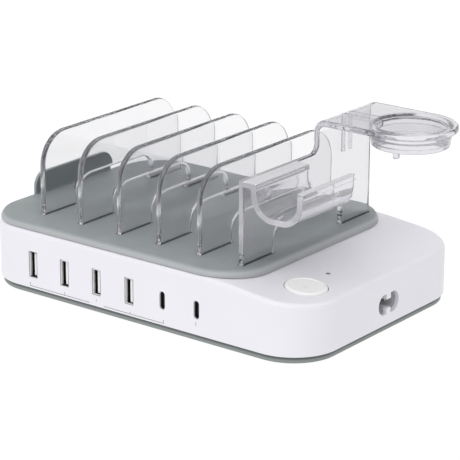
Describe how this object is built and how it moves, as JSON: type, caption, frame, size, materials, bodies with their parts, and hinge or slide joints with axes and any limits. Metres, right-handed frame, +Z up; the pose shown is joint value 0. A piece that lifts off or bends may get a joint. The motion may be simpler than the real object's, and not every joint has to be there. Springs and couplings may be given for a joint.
{
  "type": "usb charging station",
  "caption": "Low rounded case with a row of front sockets, clear dividers on a grey pad, and a clear stand with a trough and a raised ring.",
  "frame": {"origin": "middle of the whole object's width and depth, on the surface that the feet stand on", "axes": "+X to the right along the row of sockets, +Y from the socket face to the back, +Z up"},
  "size_m": [0.208, 0.13, 0.092],
  "materials": {
    "white_case": "satin",
    "grey_cover": "satin",
    "grey_pad": "matt",
    "clear_plate": "clear, polished",
    "white_contact_carrier": "matt",
    "black_plastic": "matt",
    "grey_inlet": "matt",
    "bright_steel": "bright",
    "plated_brass": "plated",
    "aluminium": "satin",
    "board_laminate": "satin",
    "dark_ferrite": "matt",
    "winding_tape": "satin",
    "foot_rubber": "matt"
  },
  "bodies": {
    "case": {"housing_shell": "white_case", "bottom_cover": "grey_cover", "top_pad": "grey_pad", "button_spring": "bright_steel", "power_switch": "black_plastic", "led_light_pipe": "clear_plate", "status_led": "white_contact_carrier", "usb_a_shell_1": "bright_steel", "usb_a_shell_2": "bright_steel", "usb_a_shell_3": "bright_steel", "usb_a_shell_4": "bright_steel", "usb_a_tongue_1": "white_contact_carrier", "usb_a_tongue_2": "white_contact_carrier", "usb_a_tongue_3": "white_contact_carrier", "usb_a_tongue_4": "white_contact_carrier", "usb_c_shell_1": "bright_steel", "usb_c_shell_2": "bright_steel", "usb_c_tongue_1": "black_plastic", "usb_c_tongue_2": "black_plastic", "ac_inlet": "grey_inlet", "ac_pin_1": "plated_brass", "ac_pin_2": "plated_brass", "port_board": "board_laminate", "power_board": "board_laminate", "board_link": "black_plastic", "transformer_core": "dark_ferrite", "transformer_winding": "winding_tape", "mains_capacitor": "black_plastic", "output_capacitor_1": "aluminium", "output_capacitor_2": "aluminium", "mains_choke": "dark_ferrite", "fuse": "white_contact_carrier", "heat_sink": "aluminium", "rubber_foot_1": "foot_rubber", "rubber_foot_2": "foot_rubber", "rubber_foot_3": "foot_rubber", "rubber_foot_4": "foot_rubber", "case_screw_1": "bright_steel", "case_screw_2": "bright_steel", "case_screw_3": "bright_steel", "case_screw_4": "bright_steel"},
    "button": {"power_button": "white_case", "switch_plunger": "white_contact_carrier"},
    "divider_1_body": {"divider_1": "clear_plate"},
    "divider_2_body": {"divider_2": "clear_plate"},
    "divider_3_body": {"divider_3": "clear_plate"},
    "divider_4_body": {"divider_4": "clear_plate"},
    "divider_5_body": {"divider_5": "clear_plate"},
    "stand_body": {"watch_stand": "clear_plate"}
  },
  "joints": [
    {"name": "power_button_press", "type": "slide", "parent": "case", "child": "button", "axis": [0, 0, -1], "range_m": [0, 0.0015], "stiffness_N_per_m": 600, "springref_m": -0.001, "deforming": ["button_spring"]},
    {"name": "divider_1_lift", "type": "slide", "parent": "case", "child": "divider_1_body", "axis": [0, 0, 1], "range_m": [0, 0.012]},
    {"name": "divider_2_lift", "type": "slide", "parent": "case", "child": "divider_2_body", "axis": [0, 0, 1], "range_m": [0, 0.012]},
    {"name": "divider_3_lift", "type": "slide", "parent": "case", "child": "divider_3_body", "axis": [0, 0, 1], "range_m": [0, 0.012]},
    {"name": "divider_4_lift", "type": "slide", "parent": "case", "child": "divider_4_body", "axis": [0, 0, 1], "range_m": [0, 0.012]},
    {"name": "divider_5_lift", "type": "slide", "parent": "case", "child": "divider_5_body", "axis": [0, 0, 1], "range_m": [0, 0.012]},
    {"name": "watch_stand_lift", "type": "slide", "parent": "case", "child": "stand_body", "axis": [0, 0, 1], "range_m": [0, 0.012]}
  ]
}
